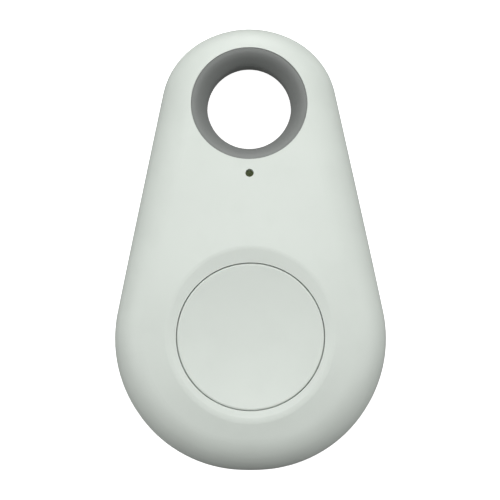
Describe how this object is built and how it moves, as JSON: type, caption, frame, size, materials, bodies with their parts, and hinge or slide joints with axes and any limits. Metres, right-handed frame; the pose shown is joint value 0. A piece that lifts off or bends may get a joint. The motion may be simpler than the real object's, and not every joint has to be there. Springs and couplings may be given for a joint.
{
  "type": "bluetooth_tracker_tag",
  "caption": "Drop-shaped white Bluetooth tracker tag with a round press button, a grey-lined key-ring hole and a replaceable coin cell",
  "frame": {"origin": "middle of the outline's box, on the flat rear face", "axes": "+Z out of the front face with the button, with the tag lying on its back; +Y from the button to the key-ring hole; +X to the right, seen from the front"},
  "size_m": [0.0314, 0.052, 0.011],
  "materials": {
    "shell_white": "satin",
    "liner_grey": "satin",
    "button_white": "satin",
    "board_green": "satin",
    "chip_black": "matte",
    "ceramic_tan": "matte",
    "tinned_steel": "satin",
    "cell_steel": "brushed",
    "copper": "satin",
    "spring_bronze": "satin",
    "led_clear": "clear",
    "cell_fill": "matte",
    "magnet_dark": "matte",
    "gasket_clear": "satin"
  },
  "bodies": {
    "rear": {"rear_shell": "shell_white"},
    "front": {"front_shell": "shell_white", "ring_liner": "liner_grey", "circuit_board": "board_green", "radio_chip": "chip_black", "crystal": "tinned_steel", "driver_transistor": "chip_black", "flyback_diode": "chip_black", "led_base": "ceramic_tan", "led_lens": "led_clear", "antenna_trace": "copper", "switch_body": "chip_black", "switch_cover": "tinned_steel", "negative_spring": "spring_bronze", "positive_spring": "spring_bronze", "buzzer_case": "chip_black", "buzzer_core": "tinned_steel", "buzzer_coil": "copper", "buzzer_magnet": "magnet_dark", "buzzer_diaphragm": "tinned_steel", "switch_dome": "tinned_steel", "capacitor_1": "ceramic_tan", "capacitor_2": "ceramic_tan", "capacitor_3": "ceramic_tan", "capacitor_4": "ceramic_tan", "capacitor_5": "ceramic_tan", "resistor_1": "chip_black", "resistor_2": "chip_black", "resistor_3": "chip_black", "board_screw_1": "tinned_steel", "board_screw_2": "tinned_steel", "board_screw_3": "tinned_steel", "switch_leg_1": "tinned_steel", "switch_leg_2": "tinned_steel", "switch_leg_3": "tinned_steel", "switch_leg_4": "tinned_steel"},
    "button": {"button_cap": "button_white"},
    "plunger": {"switch_plunger": "chip_black"},
    "cell": {"cell_can": "cell_steel", "cell_gasket": "gasket_clear", "cell_cap": "cell_steel", "cell_cathode": "cell_fill", "cell_separator": "gasket_clear", "cell_anode": "tinned_steel"}
  },
  "joints": [
    {"name": "shell_lift", "type": "slide", "parent": "rear", "child": "front", "axis": [0, 0, 1], "range_m": [0, 0.03]},
    {"name": "cell_lift", "type": "slide", "parent": "rear", "child": "cell", "axis": [0, 0, 1], "range_m": [0, 0.012]},
    {"name": "button_press", "type": "slide", "parent": "front", "child": "button", "axis": [0, 0, -1], "range_m": [0, 0.00025], "stiffness_N_per_m": 2000},
    {"name": "plunger_press", "type": "slide", "parent": "front", "child": "plunger", "axis": [0, 0, -1], "range_m": [0, 0.00025], "deforming": ["switch_dome"]}
  ],
  "couplings": [
    {"joint": "plunger_press", "follows": "button_press", "ratio": 1},
    {"joint": "cell_lift", "follows": "shell_lift", "ratio": 0.4}
  ]
}
